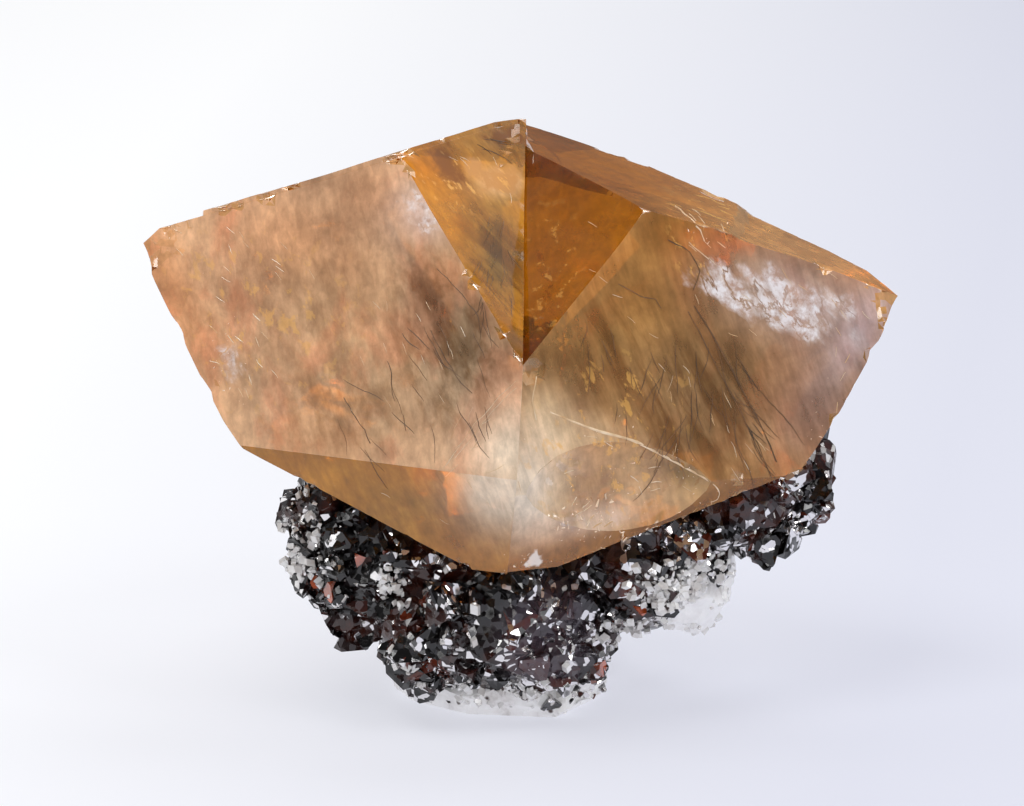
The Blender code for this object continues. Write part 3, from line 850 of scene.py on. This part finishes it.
# Fields of hairs: face, middle in pixels, half-widths, angle at the left and the right side, number, lengths
# in pixels and half-width in mm
DARK_FIELDS = [
    ("right_broad", (700, 400), (52, 60), (112, 60), 110, (18, 60), 0.055),
    ("right_broad", (742, 420), (20, 46), (64, 60), 40, (30, 90), 0.060),
    ("right_broad", (620, 370), (40, 50), (80, 66), 60, (12, 40), 0.050),
    ("left_broad", (440, 360), (50, 70), (58, 74), 70, (16, 50), 0.050),
    ("left_broad", (370, 400), (46, 50), (50, 62), 30, (16, 50), 0.050),
    ("left_notch", (496, 260), (18, 50), (120, 70), 70, (8, 22), 0.045),
    ("left_notch", (495, 142), (20, 8), (12, 18), 18, (14, 40), 0.055),
]
# Pale hairs: partly light fibres in the crystal, partly painted glints at spots where the skin catches the
# light and in the chip's lower part.
LIGHT_HAIR_AND_GLINT_FIELDS = [
    ("right_broad", (700, 420), (60, 50), (100, 60), 36, (6, 22), 0.038),
    ("left_broad", (430, 350), (60, 80), (50, 75), 30, (4, 18), 0.034),
    ("left_broad", (320, 330), (110, 90), (40, 70), 42, (4, 12), 0.038),
    ("left_broad", (235, 350), (26, 40), (30, 80), 30, (4, 10), 0.064),
    ("left_broad", (210, 245), (40, 22), (30, 80), 18, (4, 8), 0.053),
    ("left_broad", (285, 268), (20, 16), (30, 80), 12, (4, 8), 0.056),
    ("left_broad", (480, 430), (36, 40), (120, 150), 22, (7, 30), 0.034),
    ("left_lower", (450, 510), (70, 34), (20, 70), 22, (4, 11), 0.038),
    ("right_broad", (705, 235), (20, 34), (35, 60), 24, (4, 12), 0.060),
    ("right_broad", (790, 300), (80, 40), (30, 70), 30, (4, 14), 0.045),
    ("right_broad", (850, 380), (18, 60), (100, 130), 18, (4, 11), 0.049),
    ("right_broad", (640, 350), (60, 60), (20, 60), 24, (4, 13), 0.041),
    ("right_notch", (590, 250), (40, 40), (20, 40), 8, (4, 10), 0.038),
    ("left_notch", (480, 200), (40, 60), (20, 80), 14, (4, 8), 0.038),
    ("right_lower", (598, 520), (32, 14), (-70, -20), 36, (4, 12), 0.068),
    ("right_lower", (600, 470), (40, 34), (-30, 60), 30, (4, 11), 0.053),
    ("right_lower", (665, 480), (28, 12), (-30, 60), 14, (4, 8), 0.060),
]
# Single lines on the skin, drawn point by point: half-width in mm, pixels
DARK_LINES = [
    (0.13, [(694, 306), (712, 336), (732, 370), (756, 416), (770, 446), (779, 470)]),
    (0.08, [(688, 312), (706, 346), (728, 388), (750, 432), (766, 470)]),
    (0.07, [(437, 268), (452, 284), (466, 300), (478, 316), (482, 340)]),
    (0.08, [(344, 398), (352, 412), (364, 430), (374, 450)]),
    (0.07, [(430, 330), (446, 360), (462, 384), (478, 398)]),
    (0.07, [(618, 284), (640, 296), (656, 300), (664, 312)]),
    (0.07, [(668, 240), (690, 252), (700, 270), (690, 300)]),
]
LIGHT_LINES = [
    (0.04, [(524, 374), (500, 396), (476, 424), (452, 456), (436, 476)]),
    (0.04, [(516, 388), (492, 412), (470, 440), (448, 468)]),
    (0.09, [(536, 376), (532, 400), (538, 430)]),
    (0.10, [(675, 206), (690, 218), (700, 230), (706, 246)]),
    (0.10, [(688, 242), (700, 252), (712, 262)]),
]
# Colours between which strands are mottled, at these noise values
STRAND_STOPS = (0.35, 0.65)
DARK_HAIR = ((0.05, 0.025, 0.008), (0.16, 0.07, 0.02))
# Pale strand colours: light fibres that also serve as painted glints.
LIGHT_HAIR_AND_GLINT_COLOURS = ((0.85, 0.55, 0.26), (1.0, 0.86, 0.64))
# The chip rim runs from amber to pale cream; the pale part is a painted highlight along the ridge.
RIM_AND_HIGHLIGHT_COLOURS = ((0.58, 0.33, 0.13), (0.98, 0.78, 0.54))


def strand_material(name, colours, roughness, clear):
    return mottled_material(name, 300.0, 3.0, list(zip(STRAND_STOPS, colours)), roughness, clear=clear)


def add_tube(bm, rings, sides, flatness):
    """A closed flattened strand through rings, each a middle and a half-width."""
    loops = []
    for i, (middle, width) in enumerate(rings):
        ahead = (rings[min(i + 1, len(rings) - 1)][0] - rings[max(i - 1, 0)][0]).normalized()
        side = ahead.cross(VIEW_AWAY).normalized()
        rise = ahead.cross(side)
        loops.append([bm.verts.new(middle + side * width * math.cos(2 * math.pi * n / sides)
                                   + rise * width * flatness * math.sin(2 * math.pi * n / sides))
                      for n in range(sides)])
    for first, second in zip(loops, loops[1:]):
        for n in range(sides):
            m = (n + 1) % sides
            bm.faces.new([first[n], first[m], second[m], second[n]])
    bm.faces.new(loops[0][::-1])
    bm.faces.new(loops[-1])


def hair_field(face, middle, widths, angles, number, lengths, width):
    """Hairs that start in a box of pixels, run in a direction that turns across it, and wander a little."""
    strands = []
    for _ in range(number):
        x, y = dice.uniform(-1, 1), dice.uniform(-1, 1)
        angle = angles[0] + (angles[1] - angles[0]) * (x + 1) / 2 + dice.gauss(0, 7)
        u, v = middle[0] + x * widths[0], middle[1] + y * widths[1]
        count = max(3, int(dice.uniform(*lengths) / HAIR_STEP))
        depth = dice.uniform(*HAIR_DEPTHS)
        thickest = width * dice.uniform(0.7, 1.4)
        strand = []
        for i in range(count + 1):
            taper = math.sin(math.pi * (i + 0.6) / (count + 1.2))
            strand.append(((u, v), face, depth, thickest * (0.25 + 0.75 * taper)))
            angle += dice.gauss(0, math.degrees(HAIR_WANDER))
            u += HAIR_STEP * math.cos(math.radians(angle))
            v += HAIR_STEP * math.sin(math.radians(angle))
        strands.append(strand)
    return strands


def drawn_line(width, pixels):
    """A line on the skin through chosen pixels, cut finer and made a little uneven."""
    strand = []
    for (u0, v0), (u1, v1) in zip(pixels, pixels[1:]):
        for t in (0 / 3, 1 / 3, 2 / 3):
            u, v = u0 + (u1 - u0) * t + dice.gauss(0, 0.5), v0 + (v1 - v0) * t + dice.gauss(0, 0.5)
            strand.append(((u, v), None, 0.0, width * dice.uniform(0.6, 1.2)))
    return strand


def add_strands(name, fields, lines, material, skin):
    """One piece of fine closed strands, each a list of (pixel, face, depth in mm, half-width in mm)."""
    strands = [strand for field in fields for strand in hair_field(*field)]
    strands += [drawn_line(*line) for line in lines]
    bm = bmesh.new()
    for strand in strands:
        rings = []
        for (u, v), face, depth, width in strand:
            seen = seen_at(u, v, skin)
            if not seen:
                break
            middle = under_face(face, depth, u, v) if depth > 0 else seen[0] + seen[1] * STRAND_RISE
            if depth > 0 and depth_inside(skin, middle) < STRAND_SUNK:
                continue
            if rings and (middle - rings[-1][0]).length > STRAND_GAP:
                break
            rings.append((middle, width * MM))
        if len(rings) >= 3:
            add_tube(bm, rings, 3, 0.6)
    bmesh.ops.recalc_face_normals(bm, faces=bm.faces[:])
    dress(object_from(bm, name), material)


# The glassy rim of the chip: half-widths in mm at its two ends, flatness, and its line in pixels
RIM_WIDTHS = (0.24, 0.09)
RIM_FLATNESS = 0.3
RIM_LINE = [(550, 412), (574, 422), (600, 432), (622, 437), (637, 442), (652, 450), (668, 458), (686, 468),
            (703, 477), (714, 484), (720, 492), (718, 500), (708, 503)]


def add_chip_rim(skin):
    """The glassy raised rim of the chip, a thin rounded strand sunk half its width in the crystal, its pale
    mottling partly a painted highlight along the ridge.
    """
    path = []
    for (u0, v0), (u1, v1) in zip(RIM_LINE, RIM_LINE[1:]):
        for i in range(4):
            seen = seen_at(u0 + (u1 - u0) * i / 4, v0 + (v1 - v0) * i / 4, skin)
            if seen:
                path.append(seen[0])
    for _ in range(3):
        path = [path[0]] + [(a + b * 2 + c) / 4 for a, b, c in zip(path, path[1:], path[2:])] + [path[-1]]
    rings = []
    for i, middle in enumerate(path):
        share = i / (len(path) - 1)
        taper = math.sin(math.pi * (i + 0.5) / len(path)) ** 0.4
        radius = (RIM_WIDTHS[0] + (RIM_WIDTHS[1] - RIM_WIDTHS[0]) * share) * MM * taper
        rings.append((middle, radius * (1 + 0.5 * noise.noise(middle * 700))))
    bm = bmesh.new()
    add_tube(bm, rings, 8, RIM_FLATNESS)
    bmesh.ops.recalc_face_normals(bm, faces=bm.faces[:])
    thing = object_from(bm, "chip_rim_and_highlight")
    thing.data.shade_smooth()
    dress(thing, strand_material("chip_rim_and_highlight", RIM_AND_HIGHLIGHT_COLOURS, 0.10, 0.15))


def blunt_tetrahedron(cut):
    """Corners and faces of a tetrahedron with its four corners cut off, of unit radius."""
    tips = [Vector((1, 1, 1)), Vector((1, -1, -1)), Vector((-1, 1, -1)), Vector((-1, -1, 1))]
    names = [(i, j) for i in range(4) for j in range(4) if i != j]
    faces = []
    for i in range(4):
        j, k, m = [n for n in range(4) if n != i]
        way = -1 if i % 2 else 1
        faces.append([names.index(pair) for pair in ((i, j), (i, k), (i, m))][::way])
        faces.append([names.index(pair) for pair in ((j, k), (j, m), (m, j), (m, k), (k, m), (k, j))][::way])
    return [tips[i].lerp(tips[j], cut).normalized() for i, j in names], faces


# A cleavage rhomb of unit radius: its half-sizes and how far it leans
RHOMB_SIZES = Vector((0.62, 0.55, 0.45))
RHOMB_LEANS = (0.28, 0.22, 0.15)


def rhomb(flatness=1.0):
    """Corners and faces of a small cleavage rhomb, flattened to a flake by a flatness under 1."""
    high, points = RHOMB_SIZES, []
    for x in (-high.x, high.x):
        for y in (-high.y, high.y):
            for z in (-high.z, high.z):
                points.append(Vector((x + RHOMB_LEANS[0] * z, y + RHOMB_LEANS[1] * z + RHOMB_LEANS[2] * x,
                                      z * flatness)))
    return points, [[0, 1, 3, 2], [4, 6, 7, 5], [0, 4, 5, 1], [2, 3, 7, 6], [0, 2, 6, 4], [1, 5, 7, 3]]


def scatter(name, places, shape, material):
    """Join many small crystals, given as (place, size, number), in one piece."""
    template, faces = shape
    verts, polygons, shades = [], [], []
    for place, size, number in places:
        turn = Euler([dice.uniform(0, 2 * math.pi) for _ in range(3)]).to_matrix()
        squash = Vector([dice.uniform(0.75, 1.15) for _ in range(3)])
        start = len(verts)
        verts += [place + turn @ Vector([a * b for a, b in zip(point, squash)]) * size for point in template]
        polygons += [[start + n for n in face] for face in faces]
        shades += [(number, number, number, 1.0)] * sum(len(face) for face in faces)
    mesh = bpy.data.meshes.new(name)
    mesh.from_pydata(verts, [], polygons)
    layer = mesh.color_attributes.new("shade", "FLOAT_COLOR", "CORNER")
    layer.data.foreach_set("color", np.array(shades, np.float32).ravel())
    dress(new_object(name, mesh), material)


# Crushed spots with small flakes: middle, spreads in pixels, number and largest size in mm
CRUSHED = [
    ((596, 520), (30, 13), 110, 0.75),
    ((640, 480), (34, 16), 34, 0.5),
    ((585, 440), (28, 12), 26, 0.4),
    ((524, 560), (12, 6), 16, 0.6),
    ((700, 488), (14, 8), 14, 0.5),
    ((226, 352), (12, 36), 44, 0.34),
    ((162, 240), (8, 10), 10, 0.4),
    ((700, 222), (14, 14), 18, 0.4),
    ((822, 425), (9, 16), 18, 0.4),
]
SMALLEST_FLAKE = 0.12
FLAKE_FLATNESS = 0.3


def add_flakes(skin):
    """Small bright flakes sunk in the skin where the crystal is crushed, which catch the light."""
    material = Paint("flake").finish({"Base Color": (1.0, 0.80, 0.60, 1.0), "Roughness": 0.06,
                                      "IOR": CALCITE_IOR, "Transmission Weight": 0.10})
    places = []
    for middle, widths, count, largest in CRUSHED:
        for _ in range(count):
            seen = seen_at(dice.gauss(middle[0], widths[0]), dice.gauss(middle[1], widths[1]), skin)
            if seen:
                size = (SMALLEST_FLAKE + (largest - SMALLEST_FLAKE) * dice.random() ** 2.2) * MM
                places.append((seen[0] - seen[1] * size * dice.uniform(0.3, 0.6), size, dice.random()))
    scatter("flakes", places, rhomb(FLAKE_FLATNESS), material)


def surface_points(mesh, count):
    """Points spread evenly over a mesh, with their normals."""
    mesh.calc_loop_triangles()
    triangles = mesh.loop_triangles
    areas = values_of(triangles, "area")
    chosen = np.searchsorted(np.cumsum(areas) / areas.sum(), np.sort(spread.random(count)))
    found = []
    for index in chosen:
        triangle = triangles[min(int(index), len(triangles) - 1)]
        a, b, c = (mesh.vertices[n].co for n in triangle.vertices)
        p, q = spread.random(2)
        if p + q > 1:
            p, q = 1 - p, 1 - q
        found.append((a + (b - a) * p + (c - a) * q, triangle.normal.copy()))
    return found


# The purple-grey lump in the middle of the crust's front
LUMP_PLACE = Vector((3.0, -17.0, 14.0)) * MM
LUMP_REACH = 8.5 * MM
LUMP_COLOUR = (0.08, 0.062, 0.08, 1)
# Colours of the sphalerite at noise values, and of the facets that mirror the light. The white top stop is
# reached only by the pale grains, which are partly small white crystals and partly painted glints.
SPHALERITE_STOPS = (
    (0.42, (0.002, 0.001, 0.001)), (0.50, (0.010, 0.003, 0.003)), (0.57, (0.045, 0.010, 0.005)),
    (0.64, (0.012, 0.005, 0.006)), (0.72, (0.13, 0.022, 0.008)), (0.78, (0.014, 0.007, 0.008)),
    (0.86, (0.85, 0.82, 0.82)))
GLINT_COLOUR = (0.86, 0.84, 0.84, 1)
GLINT_LEVEL = 1.86
# How far a facet's normal leans, and how rough facets are
FACET_LEAN = 0.75
FACET_ROUGHNESS = (0.07, 0.22)
GRAIN_FACETS = 1100.0
CRUST_FACETS = 1050.0


def sphalerite_material(name, shaded, facet_scale):
    """Black to red-brown, with a bright lustre broken into small facets; on the grains, pale ones turn
    white, partly small white crystals and partly painted glints.
    """
    paint = Paint(name)
    where = paint.where()
    cloud = paint.noise(where, 110.0, 5.0)
    if shaded:
        cloud = paint.mix_values(0.8, cloud, paint.channels("shade")["Red"])
    away = paint.vector("DISTANCE", where, LUMP_PLACE)
    near = paint.span(away, LUMP_REACH, LUMP_REACH * 0.7)
    lump = paint.math("MULTIPLY", near, paint.noise(where, 900.0, 3.0))
    colour = paint.mix(lump, paint.ramp(cloud, *SPHALERITE_STOPS), LUMP_COLOUR)
    cells = paint.add("TexVoronoi", {"Vector": where, "Scale": facet_scale}, feature="F1").outputs
    lean = paint.vector("SCALE", paint.vector("SUBTRACT", cells["Color"], (0.5, 0.5, 0.5)), FACET_LEAN)
    facet = paint.vector("ADD", paint.add("NewGeometry", {}).outputs["Normal"], lean)
    luck = paint.add("TexWhiteNoise", {"Vector": cells["Position"]}).outputs["Value"]
    level = paint.math("MULTIPLY_ADD", paint.noise(where, 150.0, 2.0), 2.0, luck)
    glint = paint.math("GREATER_THAN", level, GLINT_LEVEL)
    return paint.finish({
        "Base Color": paint.mix(glint, colour, GLINT_COLOUR), "Metallic": glint, "IOR": CRUST_IOR,
        "Roughness": paint.span(cells["Distance"], 0.0, 0.8, *FACET_ROUGHNESS),
        "Normal": paint.vector("NORMALIZE", facet)})


# Where the gangue shows white: boxes of left, top, right and bottom pixel
PALE_GANGUE = [(645, 552, 745, 645), (425, 690, 545, 716), (600, 622, 645, 652)]
# Sphalerite grains: solid they grow on, number tried, and the noise value up to which they are kept
GRAIN_FIELDS = (("sphalerite_crust", 2100, 0.72), ("host_rock", 1300, 0.62))
LARGEST_PALE_AND_GLINT_GRAIN = 0.8 * MM


def add_crust_grains(calcite_tree):
    """Thousands of small blunted tetrahedra grown over the broken crust and part of the rock."""
    places = []
    box_low, box_high = cad_box
    for node, count, keep in GRAIN_FIELDS:
        for point, normal in surface_points(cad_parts[node].data, count):
            size = (0.5 + 2.9 * dice.random() ** 2.6) * MM
            patchy = noise.noise(point * 160) * 0.5 + 0.5
            if patchy > keep or depth_inside(calcite_tree, point) > -size * 0.8:
                continue
            place = point - normal * size * dice.uniform(0.15, 0.6)
            if place.z < size or any(place[i] - size < box_low[i] or place[i] + size > box_high[i]
                                     for i in range(3)):
                continue
            # Pale grains get the white top stop: partly small white crystals, partly painted glints that
            # stay white under any light.
            pale = noise.noise(point * 110 + Vector((5.0, 0, 0))) * 1.5 - 0.20
            number = 1.0 if dice.random() < pale else dice.random() * 0.8
            if number == 1.0:
                size = min(size, LARGEST_PALE_AND_GLINT_GRAIN)
            if in_boxes(point, PALE_GANGUE) and (node == "host_rock" or dice.random() < 0.8):
                continue
            places.append((place, size, number))
    scatter("sphalerite_grains", places, blunt_tetrahedron(0.22),
            sphalerite_material("sphalerite_grain", True, GRAIN_FACETS))


# Clear to white calcite rhombs on the crust: middle, spreads in pixels and number, and on the rock: number
CLEAR_FIELDS = (
    ((300, 550), (20, 52), 170), ((388, 580), (14, 20), 40), ((700, 594), (40, 26), 620),
    ((620, 635), (24, 12), 120), ((365, 665), (40, 18), 120), ((480, 698), (60, 12), 320),
    ((520, 610), (190, 60), 30))
CLEAR_ON_ROCK = 1500
CLEAR_STOPS = ((0.3, (0.74, 0.70, 0.67)), (0.6, (0.98, 0.97, 0.96)))


def add_clear_grains(crust_tree, calcite_tree):
    """Small clear to white calcite rhombs among the sphalerite and on the rock."""
    places = []
    for middle, widths, count in CLEAR_FIELDS:
        for _ in range(count):
            seen = seen_at(dice.gauss(middle[0], widths[0] / 1.6), dice.gauss(middle[1], widths[1] / 1.6),
                           crust_tree)
            if not seen:
                continue
            size = (0.26 + 0.75 * dice.random() ** 2.5) * MM
            place = seen[0] + seen[1] * size * 0.4
            if depth_inside(calcite_tree, place) < -size and place.z > size:
                places.append((place, size, dice.random()))
    for point, normal in surface_points(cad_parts["host_rock"].data, CLEAR_ON_ROCK):
        size = (0.3 + 0.7 * dice.random() ** 2) * MM
        place = point - normal * size * 0.3
        if place.z > size and depth_inside(calcite_tree, place) < -size and noise.noise(point * 240) > -0.15:
            places.append((place, size, dice.random()))
    material = mottled_material("clear_calcite", 300.0, 4.0, CLEAR_STOPS, 0.08, clear=0.15)
    scatter("clear_grains", places, rhomb(), material)


# Red-orange sphalerite crystals: pixel and radius in mm
RED_CRYSTALS = (
    (312, 594, 2.6), (322, 604, 2.1), (306, 606, 1.9), (330, 592, 1.6), (318, 582, 1.5),
    (742, 578, 1.7), (600, 668, 1.5), (395, 690, 1.4), (360, 560, 1.2), (640, 610, 1.3))
RED_STOPS = ((0.36, (0.05, 0.008, 0.003)), (0.66, (0.62, 0.10, 0.02)))


def add_red_sphalerite(crust_tree):
    """The red-orange lump at the left end of the crust, and a few single red crystals."""
    places = []
    for u, v, size in RED_CRYSTALS:
        seen = seen_at(u, v, crust_tree)
        if seen and seen[0].z > size * MM:
            places.append((seen[0] - seen[1] * size * MM * 0.3, size * MM, dice.random()))
    material = mottled_material("red_sphalerite", 260.0, 5.0, RED_STOPS, 0.12, RED_SPHALERITE_IOR)
    scatter("red_sphalerite", places, blunt_tetrahedron(0.25), material)


# The gangue: size of the slices of its skin, height in metres below which it stays flat, and its colours
ROCK_SLICE = 1.0 * MM
ROCK_FLAT_BELOW = 0.6 * MM
ROCK_STOPS = ((0.30, (0.56, 0.52, 0.50)), (0.42, (0.88, 0.86, 0.85)), (0.54, (0.96, 0.95, 0.94)))
SPECK_COLOUR = (0.06, 0.035, 0.03, 1)
SPECK_REACH = (0.11, 0.20)


def rock_material():
    """Sugary white to grey gangue with small dark specks."""
    paint = Paint("rock")
    where = paint.where()
    cloud = paint.noise(where, 170.0, 6.0, 0.65)
    specks = paint.add("TexVoronoi", {"Vector": where, "Scale": 420.0}).outputs["Distance"]
    colour = paint.mix(paint.span(specks, *SPECK_REACH), SPECK_COLOUR, paint.ramp(cloud, *ROCK_STOPS))
    bump = paint.add("Bump", {"Height": cloud, "Strength": 0.5, "Distance": 0.6 * MM})
    return paint.finish({"Base Color": colour, "Roughness": 0.38, "Normal": bump.outputs["Normal"]})


def add_host_rock():
    """The gangue with its broken, grainy surface, in place of its plain solid."""
    bm = bmesh.new()
    bm.from_mesh(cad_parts["host_rock"].data)
    bmesh.ops.remove_doubles(bm, verts=bm.verts[:], dist=WELD)
    slice_evenly(bm, ROCK_SLICE)
    for vert in bm.verts:
        if vert.co.z > ROCK_FLAT_BELOW:
            rough = noise.noise(vert.co * 420) * 0.45 + noise.noise(vert.co * 1100) * 0.25 - 0.25
            vert.co += vert.normal * rough * MM
    dress(object_from(bm, "gangue"), rock_material(), "host_rock")


dice = random.Random(SEED)
spread = np.random.default_rng(SEED)

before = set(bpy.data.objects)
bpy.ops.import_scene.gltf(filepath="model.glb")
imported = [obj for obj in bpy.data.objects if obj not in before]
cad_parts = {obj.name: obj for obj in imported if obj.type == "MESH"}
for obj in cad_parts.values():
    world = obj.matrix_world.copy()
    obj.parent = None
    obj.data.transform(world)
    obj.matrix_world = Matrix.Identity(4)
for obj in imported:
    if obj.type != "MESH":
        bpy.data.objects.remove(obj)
cad_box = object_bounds()
add_camera()
add_floor()
add_light()
crystal_faces = read_faces(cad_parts["calcite_twin"])
calcite_tree = tree_of(add_calcite(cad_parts["calcite_twin"]))
add_veils(calcite_tree)
add_strands("dark_hairs", DARK_FIELDS, DARK_LINES, strand_material("dark_hair", DARK_HAIR, 0.5, 0.0),
            calcite_tree)
# Pale strands, partly light fibres and partly painted glints.
add_strands("light_hairs_and_glints", LIGHT_HAIR_AND_GLINT_FIELDS, LIGHT_LINES, strand_material("light_hair_and_glint", LIGHT_HAIR_AND_GLINT_COLOURS, 0.25, 0.35),
            calcite_tree)
add_chip_rim(calcite_tree)
add_flakes(calcite_tree)
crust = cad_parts["sphalerite_crust"]
crust_tree = tree_of(crust)
crust.data.materials.clear()
crust.data.materials.append(sphalerite_material("sphalerite", False, CRUST_FACETS))
add_crust_grains(calcite_tree)
add_clear_grains(crust_tree, calcite_tree)
add_red_sphalerite(crust_tree)
add_host_rock()

bpy.context.scene.view_settings.view_transform = "Standard"
